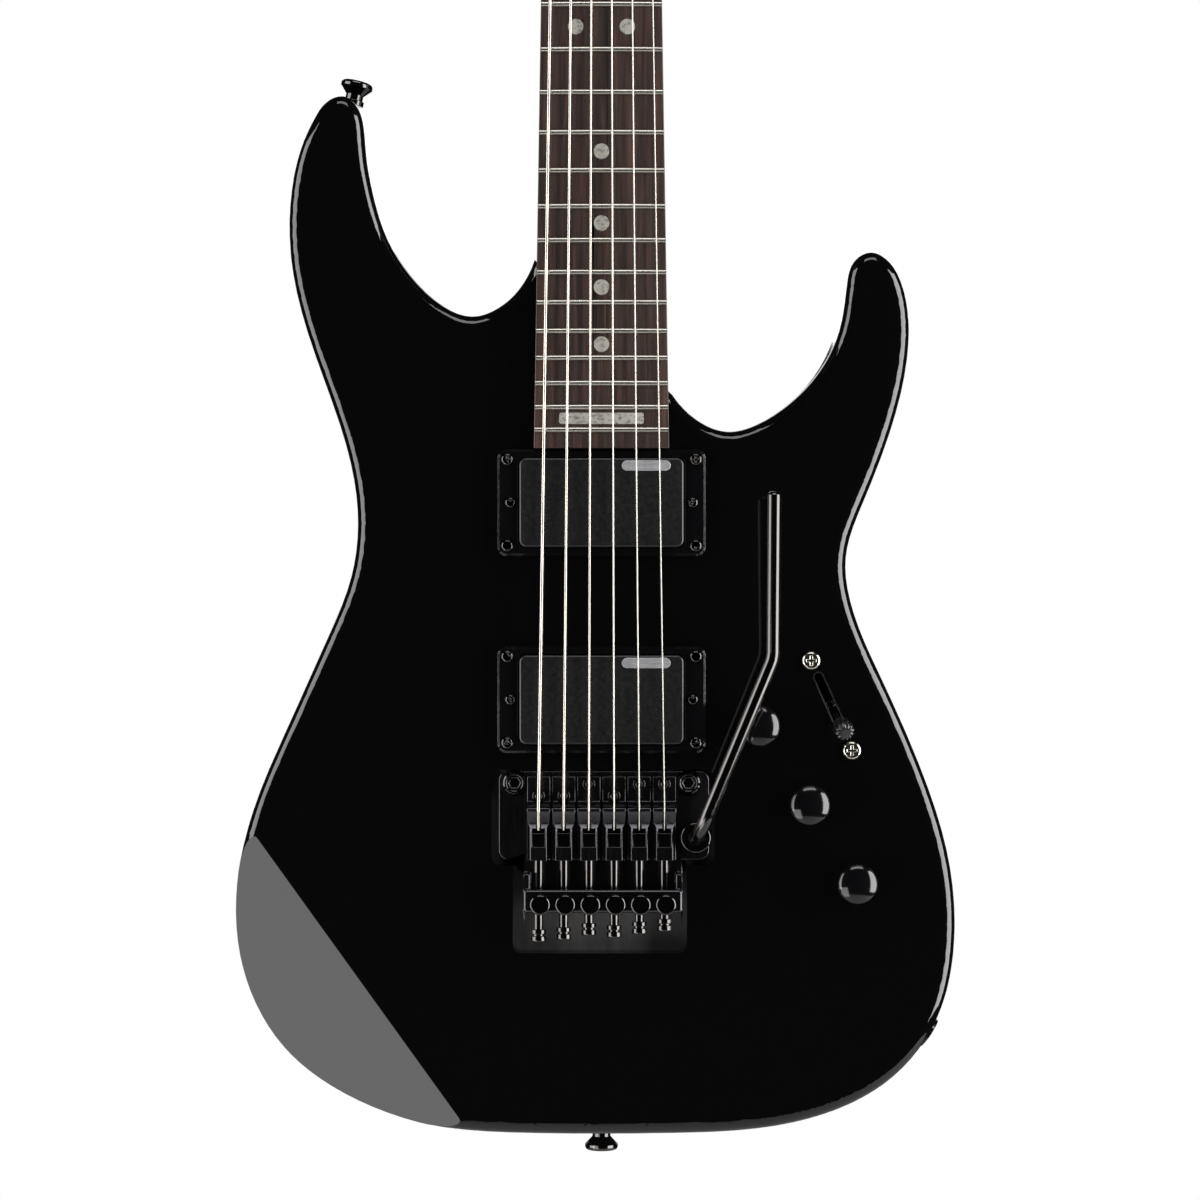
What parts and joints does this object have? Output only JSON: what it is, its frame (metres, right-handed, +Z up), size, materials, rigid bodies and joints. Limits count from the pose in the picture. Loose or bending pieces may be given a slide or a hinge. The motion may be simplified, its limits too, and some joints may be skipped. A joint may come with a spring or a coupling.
{
  "type": "electric guitar",
  "caption": "Double-cutaway solid-body electric guitar with bolt-on neck, two humbuckers and a locking tremolo; bridge, arm, knobs, switch and tuners move.",
  "frame": {"origin": "seat of the end strap button, on the body's centre line at half its thickness", "axes": "+Z up along the neck, the front faces -Y, +X is the treble side"},
  "size_m": [0.3088, 0.1047, 0.9843],
  "materials": {
    "black_lacquer": "thick polished black lacquer over basswood",
    "maple": "maple with a thin satin black finish",
    "rosewood": "open-grained oiled rosewood",
    "fret_wire": "polished nickel-silver",
    "pearl": "pearl",
    "steel": "bright steel",
    "black_chrome": "black chrome plating",
    "black_plastic": "satin moulded ABS",
    "black_gloss": "polished black plastic",
    "nickel": "nickel plate",
    "plain_string": "tinned and nickel-wound string steel",
    "zinc": "machined block",
    "copper": "coil wire and magnets",
    "battery_case": "printed tin case, left plain"
  },
  "bodies": {
    "guitar": {"body": "black_lacquer", "neck": "maple", "fingerboard": "rosewood", "frets": "fret_wire", "inlays": "pearl", "truss_rod": "steel", "truss_rod_cover": "black_plastic", "nut_base": "black_chrome", "nut_clamps": "black_chrome", "nut_clamp_screws": "black_chrome", "string_retainer": "black_chrome", "neck_bolts": "black_chrome", "strings": "plain_string", "tuner_housings": "black_chrome", "tuner_bushings": "black_chrome", "pickup_rings": "black_gloss", "pickup_covers": "black_plastic", "pickup_coils": "copper", "pickup_screws": "black_chrome", "bridge_studs": "black_chrome", "spring_claw": "nickel", "trem_springs": "steel", "pots": "nickel", "switch_frame": "nickel", "output_jack": "black_chrome", "strap_buttons": "black_chrome", "control_cover": "black_plastic", "spring_cover": "black_plastic", "cover_screws": "black_chrome", "battery": "battery_case"},
    "tremolo": {"trem_base_plate": "black_chrome", "trem_block": "zinc", "saddles": "black_chrome", "string_locks": "black_chrome", "bridge_screws": "black_chrome", "arm_socket": "black_chrome"},
    "arm": {"trem_arm": "black_chrome"},
    "volume_knob_body": {"volume_knob": "black_gloss"},
    "bass_knob_body": {"bass_knob": "black_gloss"},
    "treble_knob_body": {"treble_knob": "black_gloss"},
    "switch": {"switch_lever": "nickel", "switch_tip": "black_gloss"},
    "button_1": {"tuner_button_1": "black_chrome"},
    "post_1": {"tuner_post_1": "black_chrome"},
    "fine_tuner_body_1": {"fine_tuner_1": "black_chrome"},
    "button_2": {"tuner_button_2": "black_chrome"},
    "post_2": {"tuner_post_2": "black_chrome"},
    "fine_tuner_body_2": {"fine_tuner_2": "black_chrome"},
    "button_3": {"tuner_button_3": "black_chrome"},
    "post_3": {"tuner_post_3": "black_chrome"},
    "fine_tuner_body_3": {"fine_tuner_3": "black_chrome"},
    "button_4": {"tuner_button_4": "black_chrome"},
    "post_4": {"tuner_post_4": "black_chrome"},
    "fine_tuner_body_4": {"fine_tuner_4": "black_chrome"},
    "button_5": {"tuner_button_5": "black_chrome"},
    "post_5": {"tuner_post_5": "black_chrome"},
    "fine_tuner_body_5": {"fine_tuner_5": "black_chrome"},
    "button_6": {"tuner_button_6": "black_chrome"},
    "post_6": {"tuner_post_6": "black_chrome"},
    "fine_tuner_body_6": {"fine_tuner_6": "black_chrome"}
  },
  "joints": [
    {"name": "trem_rock", "type": "hinge", "parent": "guitar", "child": "tremolo", "pos_m": [0, -0.0205, 0.1477], "axis": [1, 0, 0], "range_deg": [-12, 4], "stiffness_Nm_per_rad": 20, "deforming": ["strings", "trem_springs"]},
    {"name": "arm_swing", "type": "hinge", "parent": "tremolo", "child": "arm", "pos_m": [0.0401, -0.0225, 0.1276], "axis": [0, -1, 0], "range_deg": [-150, 20]},
    {"name": "volume_knob_turn", "type": "hinge", "parent": "guitar", "child": "volume_knob_body", "pos_m": [0.0671, -0.0225, 0.1753], "axis": [0, -1, 0], "range_deg": [-300, 0]},
    {"name": "bass_knob_turn", "type": "hinge", "parent": "guitar", "child": "bass_knob_body", "pos_m": [0.0883, -0.0225, 0.1418], "axis": [0, -1, 0], "range_deg": [-300, 0]},
    {"name": "treble_knob_turn", "type": "hinge", "parent": "guitar", "child": "treble_knob_body", "pos_m": [0.1085, -0.0225, 0.1084], "axis": [0, -1, 0], "range_deg": [-300, 0]},
    {"name": "pickup_selector", "type": "hinge", "parent": "guitar", "child": "switch", "pos_m": [0.0983, -0.0105, 0.1837], "axis": [-0.9109, 0, -0.4127], "range_deg": [0, 48]},
    {"name": "tuner_1_button_turn", "type": "hinge", "parent": "guitar", "child": "button_1", "pos_m": [-0.02247, 0.00021, 0.81713], "axis": [-0.968, 0.0522, 0.2455], "continuous": true},
    {"name": "tuner_1_post_turn", "type": "hinge", "parent": "guitar", "child": "post_1", "pos_m": [-0.02052, -0.01709, 0.82853], "axis": [0, -0.9781, 0.2079], "continuous": true},
    {"name": "tuner_2_button_turn", "type": "hinge", "parent": "guitar", "child": "button_2", "pos_m": [-0.01538, 0.00541, 0.84159], "axis": [-0.968, 0.0522, 0.2455], "continuous": true},
    {"name": "tuner_2_post_turn", "type": "hinge", "parent": "guitar", "child": "post_2", "pos_m": [-0.01342, -0.0119, 0.85299], "axis": [0, -0.9781, 0.2079], "continuous": true},
    {"name": "tuner_3_button_turn", "type": "hinge", "parent": "guitar", "child": "button_3", "pos_m": [-0.00859, 0.01061, 0.86604], "axis": [-0.968, 0.0522, 0.2455], "continuous": true},
    {"name": "tuner_3_post_turn", "type": "hinge", "parent": "guitar", "child": "post_3", "pos_m": [-0.00664, -0.0067, 0.87744], "axis": [0, -0.9781, 0.2079], "continuous": true},
    {"name": "tuner_4_button_turn", "type": "hinge", "parent": "guitar", "child": "button_4", "pos_m": [-0.0021, 0.01581, 0.89049], "axis": [-0.968, 0.0522, 0.2455], "continuous": true},
    {"name": "tuner_4_post_turn", "type": "hinge", "parent": "guitar", "child": "post_4", "pos_m": [-0.00015, -0.0015, 0.90189], "axis": [0, -0.9781, 0.2079], "continuous": true},
    {"name": "tuner_5_button_turn", "type": "hinge", "parent": "guitar", "child": "button_5", "pos_m": [0.00407, 0.02101, 0.91495], "axis": [-0.968, 0.0522, 0.2455], "continuous": true},
    {"name": "tuner_5_post_turn", "type": "hinge", "parent": "guitar", "child": "post_5", "pos_m": [0.00603, 0.0037, 0.92635], "axis": [0, -0.9781, 0.2079], "continuous": true},
    {"name": "tuner_6_button_turn", "type": "hinge", "parent": "guitar", "child": "button_6", "pos_m": [0.00993, 0.0262, 0.9394], "axis": [-0.968, 0.0522, 0.2455], "continuous": true},
    {"name": "tuner_6_post_turn", "type": "hinge", "parent": "guitar", "child": "post_6", "pos_m": [0.01189, 0.00889, 0.9508], "axis": [0, -0.9781, 0.2079], "continuous": true},
    {"name": "fine_tuner_1_turn", "type": "hinge", "parent": "tremolo", "child": "fine_tuner_body_1", "pos_m": [-0.02598, -0.0367, 0.1002], "axis": [0, -1, 0], "range_deg": [-1080, 1080]},
    {"name": "fine_tuner_2_turn", "type": "hinge", "parent": "tremolo", "child": "fine_tuner_body_2", "pos_m": [-0.01534, -0.0367, 0.1002], "axis": [0, -1, 0], "range_deg": [-1080, 1080]},
    {"name": "fine_tuner_3_turn", "type": "hinge", "parent": "tremolo", "child": "fine_tuner_body_3", "pos_m": [-0.00471, -0.0367, 0.1002], "axis": [0, -1, 0], "range_deg": [-1080, 1080]},
    {"name": "fine_tuner_4_turn", "type": "hinge", "parent": "tremolo", "child": "fine_tuner_body_4", "pos_m": [0.00592, -0.0367, 0.1002], "axis": [0, -1, 0], "range_deg": [-1080, 1080]},
    {"name": "fine_tuner_5_turn", "type": "hinge", "parent": "tremolo", "child": "fine_tuner_body_5", "pos_m": [0.01655, -0.0367, 0.1002], "axis": [0, -1, 0], "range_deg": [-1080, 1080]},
    {"name": "fine_tuner_6_turn", "type": "hinge", "parent": "tremolo", "child": "fine_tuner_body_6", "pos_m": [0.02718, -0.0367, 0.1002], "axis": [0, -1, 0], "range_deg": [-1080, 1080]}
  ],
  "couplings": [
    {"joint": "tuner_1_post_turn", "follows": "tuner_1_button_turn", "ratio": 0.071429},
    {"joint": "tuner_2_post_turn", "follows": "tuner_2_button_turn", "ratio": 0.071429},
    {"joint": "tuner_3_post_turn", "follows": "tuner_3_button_turn", "ratio": 0.071429},
    {"joint": "tuner_4_post_turn", "follows": "tuner_4_button_turn", "ratio": 0.071429},
    {"joint": "tuner_5_post_turn", "follows": "tuner_5_button_turn", "ratio": 0.071429},
    {"joint": "tuner_6_post_turn", "follows": "tuner_6_button_turn", "ratio": 0.071429}
  ]
}
